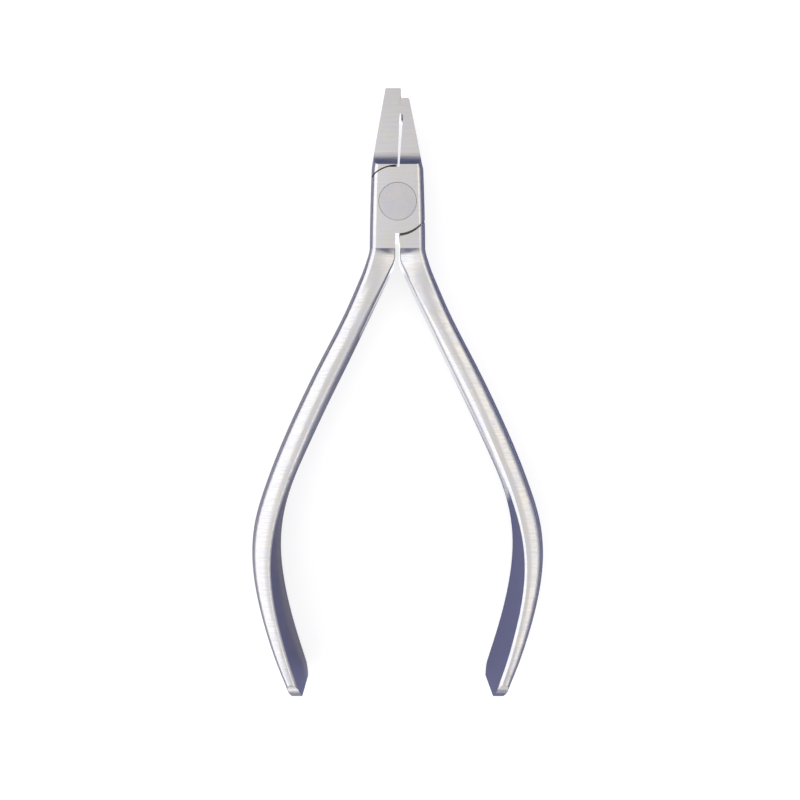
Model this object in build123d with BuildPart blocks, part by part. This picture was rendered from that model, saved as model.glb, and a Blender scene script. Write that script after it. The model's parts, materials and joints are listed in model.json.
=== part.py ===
"""Crimping pliers with a lap joint, long bowed handles and two short, unequal jaws.

Three pieces: the front half (right jaw, front lap, left handle), the back half
(left jaw, back lap, right handle) and the rivet that joins them.

Frame: the origin is on the pivot axis, on the rear face of the joint.  +Z is out of
the front face, along the pivot axis.  +Y points from the pivot to the jaw tips.
All lengths are in millimetres.
"""

from build123d import *
import os

# ---------------------------------------------------------------- driving dimensions

# Joint block, shared by the two laps
joint_depth = 8.4           # front face to rear face
joint_top = 8.0             # where the block steps down to the jaws
joint_bottom = -10.1        # where the block steps down to the handles
joint_shoulder = 7.4        # where its sides turn in to the jaw flanks
joint_half_width_top = 5.62
joint_half_width_middle = 5.87
joint_half_width_bottom = 6.05
joint_edge_radius = 1.4     # long outer edges of the block

# Lap joint: each half turns inside arcs about the pivot axis
lap_gap = 0.04              # between the two lap faces
lap_radius_top = 7.65
recess_radius_top = 7.93
lap_radius_bottom = 6.90
recess_radius_bottom = 7.52
recess_shift_bottom = 0.30  # moves the lower recess arc, so that its gap narrows outwards
slot_half_width = 0.50      # slot between the handle roots

# Rivet
rivet_head_diameter = 8.2
rivet_head_depth = 1.5
rivet_shank_diameter = 4.5
rivet_running_clearance = 0.03
rivet_chamfer = 0.06

# Jaws.  The line where they meet leans a little to the right on its way up.
meeting_lean = 0.038        # sideways travel for each millimetre up, above the joint top
jaw_gap = 0.03
jaw_root_half_depth = 3.2
jaw_tip_half_depth = 1.4
jaw_step_length = 3.0       # length of the hollow step between block and jaw
jaw_root = 8.8              # height where the outer flanks start

long_jaw_tip = 25.9
long_jaw_root_x = 5.44
long_jaw_tip_x = 2.60
long_jaw_lip_height = 2.2
long_jaw_lip_reach = 0.20
long_jaw_corner_radius = 0.25

short_jaw_tip = 23.5
short_jaw_root_x = 5.28
short_jaw_tip_x = 2.55
short_jaw_tip_rise = 0.2
short_jaw_corner_radius = 0.6
pad_bottom = 19.9           # lower end of the stretch where the jaws meet
relief_width_top = 0.82
relief_width_bottom = 0.42
relief_corner_radius = 0.5

# Handle sections, square to the Y axis.  Each row gives
#   the height of the section,
#   the distances of its inner and outer side from the middle of the pliers,
#   its depth, and how much further out its outer side stands, on each face,
#   the crown of each face,
#   the width and height of its inner edge and the radius of its outer edge.
handle_sections = [
    (joint_bottom, slot_half_width, joint_half_width_bottom, joint_depth, 0.02, 0.02, 0.15, 0.15, joint_edge_radius),
    (-10.6, slot_half_width, 6.18, 7.46, 0.26, 0.03, 0.16, 0.15, 1.42),
    (-11.3, slot_half_width, 6.38, 6.66, 0.42, 0.04, 0.18, 0.16, 1.45),
    (-12.3, 0.62, 6.73, 6.12, 0.48, 0.05, 0.22, 0.18, 1.50),
    (-13.6, 1.12, 7.20, 5.96, 0.36, 0.06, 0.28, 0.22, 1.60),
    (-16.5, 2.45, 8.40, 6.04, 0.16, 0.08, 0.42, 0.28, 1.75),
    (-24.0, 6.05, 11.75, 6.20, 0.00, 0.10, 0.85, 0.46, 1.95),
    (-34.0, 10.85, 16.90, 6.20, 0.00, 0.12, 1.25, 0.62, 2.05),
    (-44.0, 15.80, 21.80, 6.20, 0.00, 0.12, 1.30, 0.65, 2.05),
    (-54.0, 20.50, 26.20, 6.30, 0.00, 0.11, 1.05, 0.50, 2.00),
    (-62.0, 23.95, 29.15, 7.00, 0.00, 0.10, 0.75, 0.36, 1.90),
    (-69.0, 26.05, 30.95, 9.20, 0.00, 0.09, 0.50, 0.26, 1.80),
    (-76.0, 26.95, 31.25, 11.80, 0.00, 0.08, 0.45, 0.22, 1.65),
    (-84.0, 26.45, 30.10, 13.30, 0.00, 0.06, 0.50, 0.24, 1.45),
    (-92.0, 24.80, 28.00, 13.60, 0.00, 0.05, 0.55, 0.26, 1.25),
    (-100.0, 22.45, 25.20, 13.60, 0.00, 0.04, 0.60, 0.28, 1.05),
    (-107.4, 20.20, 22.40, 13.60, 0.00, 0.03, 0.65, 0.30, 0.85),
]
inner_edge_bulge = 0.08     # bulge of the inner edges, per width
handle_end_radius = 5.6     # corners of the paddle, seen from the side
handle_end_lean = 0.3       # sideways travel of its sides for each millimetre up, at the end

# ---------------------------------------------------------------- derived values

half_depth = joint_depth / 2
jaw_step_end = joint_top + jaw_step_length
MID = Plane.XY.offset(half_depth)
SIDE = Plane(origin=(0, 0, half_depth), x_dir=(0, 1, 0), z_dir=(1, 0, 0))
TURN_AXIS = Axis((0, 0, half_depth), (0, 1, 0))
beyond = 40                 # reach of the cutting tools past the metal
margin = 1                  # how far a cut outline stands off the metal
quarter_arc_height = 1 - 0.5 ** 0.5


def meeting_x(y):
    """Sideways place of the line where the jaws meet, at height y."""
    return (y - joint_top) * meeting_lean


def handle_section(y, inner, outer, depth, rise, crown, edge_width, edge_height, outer_edge):
    """Section of the left handle: flat inside, rounded outside, crowned front and rear."""
    place = Plane(origin=(-(inner + outer) / 2, y, half_depth), x_dir=(-1, 0, 0), z_dir=(0, -1, 0))
    side = (outer - inner) / 2
    top = depth / 2 - crown
    inner_foot = (-side, top - edge_height)
    shoulder = (edge_width - side, top)
    brow = (side - outer_edge, top + rise)
    outer_foot = (side, top + rise - outer_edge)
    with BuildSketch(place) as section:
        with BuildLine():
            Line((-side, 0), inner_foot)
            SagittaArc(inner_foot, shoulder, inner_edge_bulge * edge_width)
            SagittaArc(shoulder, brow, crown)
            SagittaArc(brow, outer_foot, quarter_arc_height * outer_edge)
            Line(outer_foot, (side, 0))
            mirror(about=Plane.XZ)
        make_face()
    return section.sketch


def is_long_outer_edge(edge):
    """True for the edges that run along the outer sides of the block and the jaw flank."""
    direction = edge % 0.5
    lengthways = abs(direction.Y) > abs(direction.X) + abs(direction.Z)
    return lengthways and abs((edge @ 0.5).X) > joint_half_width_top / 2


# ---------------------------------------------------------------- left handle

with BuildPart() as handle:
    loft([handle_section(*row) for row in handle_sections])
    end, end_inner, end_outer, end_depth = handle_sections[-1][:4]
    # round the front and rear corners of the paddle's end
    with BuildSketch(SIDE):
        with Locations((end + handle_end_radius, end_depth / 2 - handle_end_radius)):
            Rectangle(2 * handle_end_radius, 2 * handle_end_radius, align=(Align.MAX, Align.MIN))
            Circle(handle_end_radius, mode=Mode.SUBTRACT)
        mirror(about=Plane.XZ)
    extrude(amount=beyond, both=True, mode=Mode.SUBTRACT)
    # and give it a full round, seen from the front
    tip_radius = (end_outer - end_inner) / 2
    tip_x = -(end_inner + end_outer) / 2 - handle_end_lean * tip_radius
    with BuildSketch(MID):
        with Locations((tip_x, end + tip_radius)):
            Rectangle(4 * tip_radius, 2 * tip_radius, align=(Align.CENTER, Align.MAX))
            Circle(tip_radius, mode=Mode.SUBTRACT)
    extrude(amount=beyond, both=True, mode=Mode.SUBTRACT)


# ---------------------------------------------------------------- one half of the pliers


def pliers_half(jaw_outline, split_x):
    """A half with its jaw on the right, its lap in front and its handle on the left.

    jaw_outline runs from the foot of the jaw's inner wall, round the tip, to the foot of
    its outer flank, each point with its corner radius.  split_x is where the inner wall
    stands at the top of the joint.
    """
    corners = [(x, y) for x, y, radius in jaw_outline]
    with BuildPart() as half:
        with BuildSketch(MID):
            with BuildLine():
                right = ThreePointArc(
                    (joint_half_width_bottom, joint_bottom),
                    (joint_half_width_middle, 0),
                    (joint_half_width_top, joint_shoulder),
                )
                left = ThreePointArc(
                    (-joint_half_width_bottom, joint_bottom),
                    (-joint_half_width_middle, 0),
                    (-joint_half_width_top, joint_shoulder),
                )
                Polyline(left @ 1, *corners, right @ 1)
                Line(right @ 0, left @ 0)
            make_face()
        extrude(amount=half_depth, both=True)
        fillet(half.edges().filter_by(is_long_outer_edge), joint_edge_radius)

        # hollow step and taper towards the jaw tip, front and rear
        with BuildSketch(SIDE):
            with BuildLine():
                face = Line((long_jaw_tip, jaw_tip_half_depth), (jaw_step_end, jaw_root_half_depth))
                TangentArc(face @ 1, (joint_top, half_depth), tangent=face % 1)
                Polyline(
                    (joint_top, half_depth),
                    (joint_top, half_depth + margin),
                    (long_jaw_tip + margin, half_depth + margin),
                    (long_jaw_tip + margin, jaw_tip_half_depth),
                    (long_jaw_tip, jaw_tip_half_depth),
                )
            make_face()
            mirror(about=Plane.XZ)
        extrude(amount=beyond, both=True, mode=Mode.SUBTRACT)

        # round the jaw's corners, seen from the front
        for x, y, radius in jaw_outline:
            if radius > 0:
                upright = half.edges().filter_by(Axis.Z).sort_by_distance((x, y, half_depth))[0]
                fillet(upright, radius)

        # the other half's share of the block and its handle root, front to rear
        with BuildSketch(MID):
            with Locations((split_x, 0)):
                Rectangle(beyond, joint_shoulder, align=(Align.MAX, Align.MIN))
            Circle(lap_radius_top, mode=Mode.SUBTRACT)
        extrude(amount=half_depth, both=True, mode=Mode.SUBTRACT)
        with BuildSketch(MID):
            with Locations((-slot_half_width, 0)):
                Rectangle(beyond, beyond, align=(Align.MIN, Align.MAX))
            Circle(lap_radius_bottom, mode=Mode.SUBTRACT)
        extrude(amount=half_depth, both=True, mode=Mode.SUBTRACT)

        # the room behind this lap where the other lap turns
        with BuildSketch(MID.offset(lap_gap / 2)):
            Circle(recess_radius_top)
            split(bisect_by=Plane.XZ, keep=Keep.BOTTOM)
            with Locations((recess_shift_bottom, 0)):
                Circle(recess_radius_bottom)
        extrude(amount=-joint_depth, mode=Mode.SUBTRACT)

        add(handle.part)
    return half.part


short_jaw = [
    (relief_width_bottom, joint_shoulder, 0),
    (relief_width_bottom, joint_top, 0),
    (meeting_x(pad_bottom) + relief_width_top, pad_bottom, relief_corner_radius),
    (meeting_x(pad_bottom) + jaw_gap, pad_bottom, 0),
    (meeting_x(short_jaw_tip) + jaw_gap, short_jaw_tip, 0),
    (short_jaw_tip_x, short_jaw_tip + short_jaw_tip_rise, short_jaw_corner_radius),
    (short_jaw_root_x, jaw_root, 0),
]
lip_bottom = long_jaw_tip - long_jaw_lip_height
lip_x = -meeting_x(lip_bottom) - long_jaw_lip_reach
long_jaw = [
    (0, joint_shoulder, 0),
    (0, joint_top, 0),
    (-meeting_x(lip_bottom), lip_bottom, 0),
    (lip_x, lip_bottom + long_jaw_lip_reach, 0),
    (lip_x, long_jaw_tip, long_jaw_corner_radius),
    (long_jaw_tip_x, long_jaw_tip, long_jaw_corner_radius),
    (long_jaw_root_x, jaw_root, 0),
]

with BuildPart() as front_half:
    add(pliers_half(short_jaw, relief_width_bottom))
    with Locations((0, 0, joint_depth)):
        CounterBoreHole(
            radius=rivet_shank_diameter / 2 + rivet_running_clearance,
            counter_bore_radius=rivet_head_diameter / 2 + rivet_running_clearance,
            counter_bore_depth=rivet_head_depth + rivet_running_clearance,
            depth=joint_depth,
        )

with BuildPart() as back_half:
    add(pliers_half(long_jaw, 0).rotate(TURN_AXIS, 180))
    with Locations((0, 0, half_depth)):
        Hole(radius=rivet_shank_diameter / 2)

with BuildPart() as pivot_rivet:
    Cylinder(rivet_shank_diameter / 2, joint_depth, align=(Align.CENTER, Align.CENTER, Align.MIN))
    with Locations((0, 0, joint_depth)):
        Cylinder(rivet_head_diameter / 2, rivet_head_depth, align=(Align.CENTER, Align.CENTER, Align.MAX))
    chamfer(pivot_rivet.edges().sort_by(Axis.Z)[-1], rivet_chamfer)

os.makedirs("parts", exist_ok=True)
front_half.part.label = "front_half"
export_step(front_half.part, "parts/front_half.step")
back_half.part.label = "back_half"
export_step(back_half.part, "parts/back_half.step")
pivot_rivet.part.label = "pivot_rivet"
export_step(pivot_rivet.part, "parts/pivot_rivet.step")
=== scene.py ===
import json
import math

import bpy
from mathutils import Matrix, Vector


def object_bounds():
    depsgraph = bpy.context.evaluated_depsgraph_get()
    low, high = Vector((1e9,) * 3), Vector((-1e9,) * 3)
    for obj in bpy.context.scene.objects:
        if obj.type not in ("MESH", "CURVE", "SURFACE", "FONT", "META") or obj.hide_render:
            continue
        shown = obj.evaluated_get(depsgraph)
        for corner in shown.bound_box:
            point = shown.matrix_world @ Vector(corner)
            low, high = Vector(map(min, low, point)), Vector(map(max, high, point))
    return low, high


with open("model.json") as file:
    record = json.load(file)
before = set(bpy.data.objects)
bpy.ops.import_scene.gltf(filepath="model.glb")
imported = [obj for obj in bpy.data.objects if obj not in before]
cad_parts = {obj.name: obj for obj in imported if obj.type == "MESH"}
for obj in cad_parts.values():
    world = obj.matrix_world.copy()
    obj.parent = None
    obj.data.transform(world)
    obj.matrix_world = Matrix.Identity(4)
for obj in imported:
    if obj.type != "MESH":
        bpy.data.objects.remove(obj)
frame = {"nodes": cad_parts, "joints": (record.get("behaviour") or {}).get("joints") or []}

cad_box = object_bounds()

MM = 0.001

# ---------------------------------------------------------------- places, from the frame

low, high = (Vector(corner) for corner in cad_box)
floor_z = low.z
middle_y = (low.y + high.y) / 2
pivot = Vector(frame["joints"][0]["pos_m"])


# ---------------------------------------------------------------- node helpers


def add(nodes, kind, **sockets):
    """A node with its inputs set by name, spaces written as underscores."""
    node = nodes.new(kind)
    for name, value in sockets.items():
        node.inputs[name.replace("_", " ")].default_value = value
    return node


def math_node(tree, operation, a, b=None):
    """A Math node on numbers or sockets; gives its output."""
    node = tree.nodes.new("ShaderNodeMath")
    node.operation = operation
    for socket, value in zip(node.inputs, (a, b)):
        if isinstance(value, (int, float)):
            socket.default_value = value
        elif value is not None:
            tree.links.new(value, socket)
    return node.outputs[0]


def weighted(tree, first, second, share):
    """share of the first socket and the rest of the second."""
    return math_node(
        tree,
        "ADD",
        math_node(tree, "MULTIPLY", first, share),
        math_node(tree, "MULTIPLY", second, 1 - share),
    )


def blended(tree, factor, first, second):
    """Mixes two colours or sockets by a factor."""
    node = tree.nodes.new("ShaderNodeMix")
    node.data_type = "RGBA"
    tree.links.new(factor, node.inputs["Factor"])
    for name, value in (("A", first), ("B", second)):
        socket = [i for i in node.inputs if i.name == name and i.type == "RGBA"][0]
        if isinstance(value, tuple):
            socket.default_value = (*value, 1.0)
        else:
            tree.links.new(value, socket)
    return [o for o in node.outputs if o.type == "RGBA"][0]


def eased(tree, value, start, end, low=0.0, high=1.0, smooth=True):
    """Takes value from start..end to low..high, held at both ends."""
    if start > end:
        start, end, low, high = end, start, high, low
    node = add(tree.nodes, "ShaderNodeMapRange", From_Min=start, From_Max=end, To_Min=low, To_Max=high)
    node.interpolation_type = "SMOOTHSTEP" if smooth else "LINEAR"
    tree.links.new(value, node.inputs["Value"])
    return node.outputs["Result"]


# ---------------------------------------------------------------- steel

# Brush strokes run along X, across the pliers: their noise is stretched that way.
STROKE_STRETCH = (0.03, 1.0, 1.0)
NO_STRETCH = (1.0, 1.0, 1.0)
STROKE_SHADE = (0.35, 0.35, 0.38)
# Painted shade: the colour that gaps and crevices are darkened towards, and how near another surface has to be
# for it.
PAINTED_CREVICE_SHADE = (0.03, 0.03, 0.04)
PAINTED_SHADE_REACH = 0.45 * MM         # how near another surface has to be
STROKE_HEIGHT = 0.006 * MM


def brushed(name, warm, cool, roughness, relief):
    """Satin stainless steel: fine brush strokes, warm and cool clouding, and shade painted dark into its
    crevices.
    """
    material = bpy.data.materials.new(name)
    material.use_nodes = True
    tree = material.node_tree
    shader = tree.nodes["Principled BSDF"]
    shader.inputs["Metallic"].default_value = 1.0
    place = tree.nodes.new("ShaderNodeTexCoord").outputs["Object"]

    def noise(stretch, per_metre, detail):
        mapping = add(tree.nodes, "ShaderNodeMapping", Scale=stretch)
        tree.links.new(place, mapping.inputs["Vector"])
        node = add(tree.nodes, "ShaderNodeTexNoise", Scale=per_metre, Detail=detail)
        tree.links.new(mapping.outputs["Vector"], node.inputs["Vector"])
        return node.outputs["Fac"]

    fine = noise(STROKE_STRETCH, 4500.0, 1.0)
    broad = noise(STROKE_STRETCH, 1300.0, 2.0)
    cloud = noise(NO_STRETCH, 260.0, 3.0)
    mottle = noise(NO_STRETCH, 900.0, 2.0)
    strokes = weighted(tree, fine, broad, 0.8)
    patches = weighted(tree, cloud, mottle, 0.6)

    tint = blended(tree, eased(tree, patches, 0.38, 0.62), warm, cool)
    shaded = blended(tree, eased(tree, strokes, 0.35, 0.65, 0.0, 0.12), tint, STROKE_SHADE)
    # Painted shade: the base colour darkens where other surfaces are near, in gaps and crevices.
    crevice = add(tree.nodes, "ShaderNodeAmbientOcclusion", Distance=PAINTED_SHADE_REACH)
    crevice.samples = 6
    painted_shade = eased(tree, crevice.outputs["AO"], 0.55, 0.15, 0.0, 0.9)
    tree.links.new(blended(tree, painted_shade, shaded, PAINTED_CREVICE_SHADE), shader.inputs["Base Color"])

    uneven = eased(tree, weighted(tree, strokes, patches, 0.5), 0.35, 0.65, roughness - 0.04, roughness + 0.05)
    tree.links.new(uneven, shader.inputs["Roughness"])

    bump = add(tree.nodes, "ShaderNodeBump", Strength=relief, Distance=STROKE_HEIGHT)
    tree.links.new(strokes, bump.inputs["Height"])
    tree.links.new(bump.outputs["Normal"], shader.inputs["Normal"])
    return material


steel = brushed("brushed_steel", (0.72, 0.70, 0.68), (0.68, 0.68, 0.71), roughness=0.22, relief=0.2)
# The rivet's steel is painted darker and bluer than the rest: a painted dark reflection on its head.
rivet_steel_painted_dark = brushed("rivet_steel_painted_dark", (0.66, 0.64, 0.63), (0.58, 0.58, 0.63), roughness=0.25, relief=0.3)

for name, node in frame["nodes"].items():
    node.data.materials.clear()
    node.data.materials.append(rivet_steel_painted_dark if name == "pivot_rivet" else steel)

# ---------------------------------------------------------------- floor

FLOOR_HALF = 3.0                # metres
FLOOR_GLOW = 0.72
SHEET_LIFT = 0.05 * MM          # of the reflected sheets, above the floor
REACH = 300                     # how far the cloths spread, in millimetres


def matt(name, color, glow):
    """A matt material that also gives off white light."""
    material = bpy.data.materials.new(name)
    material.use_nodes = True
    shader = material.node_tree.nodes["Principled BSDF"]
    shader.inputs["Base Color"].default_value = (*color, 1.0)
    shader.inputs["Roughness"].default_value = 0.9
    shader.inputs["Emission Color"].default_value = (1.0, 1.0, 1.0, 1.0)
    shader.inputs["Emission Strength"].default_value = glow
    return material


def level_sheet(name, corners, height, material):
    """A level sheet from its corners, in metres; part of the set, not of the pliers."""
    mesh = bpy.data.meshes.new(name)
    mesh.from_pydata([(x, y, height) for x, y in corners], [], [tuple(range(len(corners)))])
    mesh.materials.append(material)
    sheet = bpy.data.objects.new(name, mesh)
    bpy.context.scene.collection.objects.link(sheet)
    return sheet


def reflected_only(name, outline, color, glow=0.0):
    """A sheet just above the floor that only reflections see, with its outline in millimetres."""
    corners = [(x * MM, y * MM) for x, y in outline]
    sheet = level_sheet(name, corners, floor_z + SHEET_LIFT, matt(name, color, glow))
    sheet.visible_camera = False
    sheet.visible_diffuse = False
    sheet.visible_shadow = False
    sheet.visible_transmission = False


# A pale floor that glows a little, so that the pliers throw almost no shadow on it.
floor_white = matt("floor_white", (0.42, 0.42, 0.42), FLOOR_GLOW)
floor_white.node_tree.nodes["Principled BSDF"].inputs["Specular IOR Level"].default_value = 0.0
floor_corners = [
    (-FLOOR_HALF, middle_y - FLOOR_HALF),
    (FLOOR_HALF, middle_y - FLOOR_HALF),
    (FLOOR_HALF, middle_y + FLOOR_HALF),
    (-FLOOR_HALF, middle_y + FLOOR_HALF),
]
level_sheet("floor", floor_corners, floor_z, floor_white)

# Cloths that only the steel's reflections see: lavender grey on the left and along the inner
# side of the left handle, dark blue on the right and between the handles.  The opening
# shows the pale floor under the jaws, the joint, the fork and the upper right handle.
joint_side = [(-6, 26), (-6, -10), (-1, -14)]
handle_side = [
    (-6.8, -29),
    (-13, -44),
    (-21.5, -62),
    (-24.6, -69),
    (-25.6, -77),
    (-25, -85),
    (-19, -107),
    (-18, -113),
]
opening = [(2, -29), (13, -54), (25, -67), (1.5, -13), (1.5, 26), (-1.5, 26)]
far_left = [(-18, -REACH), (-REACH, -REACH), (-REACH, REACH), (-6, REACH)]
far_right = [(-18, -REACH), (REACH, -REACH), (REACH, REACH), (-6, REACH)]
reflected_only("lavender_cloth", joint_side + handle_side + far_left, (0.36, 0.36, 0.44))
reflected_only("blue_cloth", handle_side + far_right + joint_side[:1] + opening[::-1], (0.19, 0.20, 0.36))
# A glowing strip lights the walls at the ends of the two slots from below.
strip = [(0, -15), (1.4, -9), (1.4, 24), (-1.4, 24), (-1.4, -9)]
reflected_only("light_strip", strip, (0.4, 0.4, 0.4), glow=1.6)

# ---------------------------------------------------------------- light

# The studio is drawn in the world: a long bright soft box on the left, a narrower cream one
# on the right, a dimmer gap between them overhead, and dark blue surroundings.
world = bpy.data.worlds.new("studio")
world.use_nodes = True
sky = world.node_tree
way = sky.nodes.new("ShaderNodeSeparateXYZ")
sky.links.new(sky.nodes.new("ShaderNodeTexCoord").outputs["Generated"], way.inputs[0])
sideways = math_node(sky, "ARCTAN2", way.outputs["X"], way.outputs["Z"])
lengthways = math_node(sky, "ARCTAN2", way.outputs["Y"], way.outputs["Z"])


def between(value, start, end, smooth=True):
    """Takes an angle from start..end, in degrees, to 0..1."""
    return eased(sky, value, math.radians(start), math.radians(end), smooth=smooth)


# The light from each side: an angle in degrees, from the left horizon (-90) over the top to
# the right horizon (90), and its colour.
BRIGHTNESS = 1.6                # of the world; the colours below are divided by it
SURROUNDINGS = (0.085, 0.095, 0.19)
BACKDROP = (0.62, 0.62, 0.62)   # what the camera sees past the floor
profile = [
    (-88, (0.26, 0.26, 0.34)),
    (-68, (0.66, 0.66, 0.74)),
    (-50, (1.48, 1.48, 1.52)),
    (-9, (1.48, 1.48, 1.50)),
    (-3, (0.84, 0.82, 0.81)),
    (9, (0.78, 0.76, 0.77)),
    (15, (1.34, 1.29, 1.22)),
    (26, (1.34, 1.29, 1.22)),
    (38, (0.62, 0.62, 0.70)),
    (56, (0.34, 0.35, 0.43)),
    (76, (0.18, 0.19, 0.29)),
    (88, (0.12, 0.13, 0.22)),
]
sides = sky.nodes.new("ShaderNodeValToRGB")
sides.color_ramp.interpolation = "EASE"
stops = sides.color_ramp.elements
while len(stops) < len(profile):
    stops.new(0.5)
for stop, (angle, _) in zip(stops, profile):
    stop.position = (angle + 90) / 180
for stop, (_, color) in zip(stops, profile):
    stop.color = (*[c / BRIGHTNESS for c in color], 1.0)
sky.links.new(between(sideways, -90, 90, smooth=False), sides.inputs["Fac"])

# It ends towards the jaws and at the horizon behind the handles.  In a column overhead it
# also ends higher up on the handles' side.
towards_jaws = between(lengthways, 42, 62)
overhead = between(math_node(sky, "ABSOLUTE", sideways), 26, 8)
towards_handles = math_node(sky, "MULTIPLY", between(lengthways, -24, -44), overhead)
far_handles = between(lengthways, -84, -100)
dim = math_node(sky, "MAXIMUM", math_node(sky, "MAXIMUM", towards_jaws, towards_handles), far_handles)
light = blended(sky, dim, sides.outputs["Color"], tuple(c / BRIGHTNESS for c in SURROUNDINGS))
seen = sky.nodes.new("ShaderNodeLightPath").outputs["Is Camera Ray"]
background = sky.nodes["Background"]
sky.links.new(blended(sky, seen, light, BACKDROP), background.inputs["Color"])
background.inputs["Strength"].default_value = BRIGHTNESS
bpy.context.scene.world = world
bpy.context.scene.view_settings.view_transform = "Standard"

# ---------------------------------------------------------------- camera

# It looks straight down from close above the pliers.
CAMERA_HEIGHT = 125.0 * MM      # above the middle plane of the joint
CAMERA_X = -2.5 * MM
CAMERA_Y = -42.8 * MM
VIEW_WIDTH = 178.2 * MM         # width of the picture at that plane
camera_data = bpy.data.cameras.new("camera")
camera_data.sensor_width = 36.0
camera_data.lens = camera_data.sensor_width * CAMERA_HEIGHT / VIEW_WIDTH
camera_data.clip_start = 0.005
camera_data.shift_x = 0.0175    # the pliers stand a little left of the middle
camera = bpy.data.objects.new("camera", camera_data)
camera.location = (CAMERA_X, CAMERA_Y, pivot.z + CAMERA_HEIGHT)
bpy.context.scene.collection.objects.link(camera)
bpy.context.scene.camera = camera
